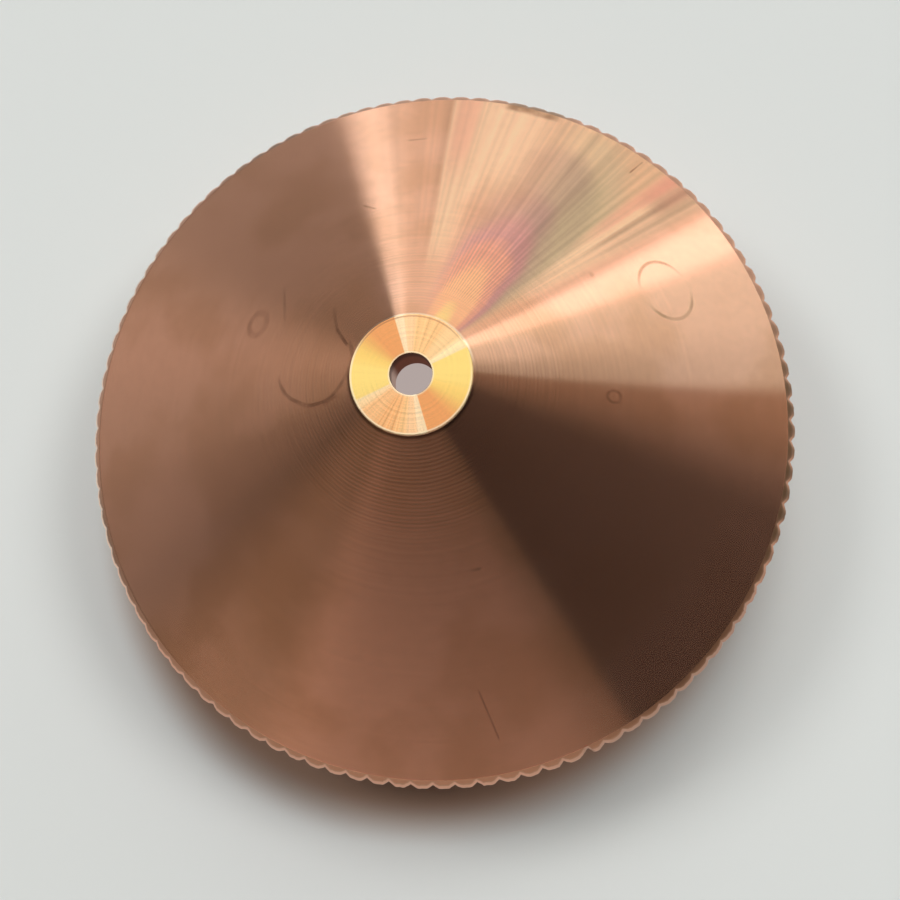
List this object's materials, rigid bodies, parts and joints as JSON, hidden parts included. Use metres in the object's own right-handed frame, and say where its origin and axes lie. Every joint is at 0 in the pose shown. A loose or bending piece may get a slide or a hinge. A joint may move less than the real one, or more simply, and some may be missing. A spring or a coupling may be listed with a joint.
{
  "type": "laser cutting nozzle",
  "caption": "Copper laser cutting nozzle: a shallow cone with a knurled rim, a small flat tip with a central orifice, and a threaded boss with a tapered gas passage behind.",
  "frame": {"origin": "centre of the boss's end face, on the nozzle's axis, where the part stands", "axes": "+Z along the nozzle's axis, from the threaded boss to the tip; +X through the middle of one notch of the knurl"},
  "size_m": [0.032, 0.032, 0.015],
  "materials": {
    "copper": "bare red copper, finely turned, satin on the cone and bright on the tip"
  },
  "bodies": {
    "root": {"nozzle": "copper"}
  },
  "joints": []
}
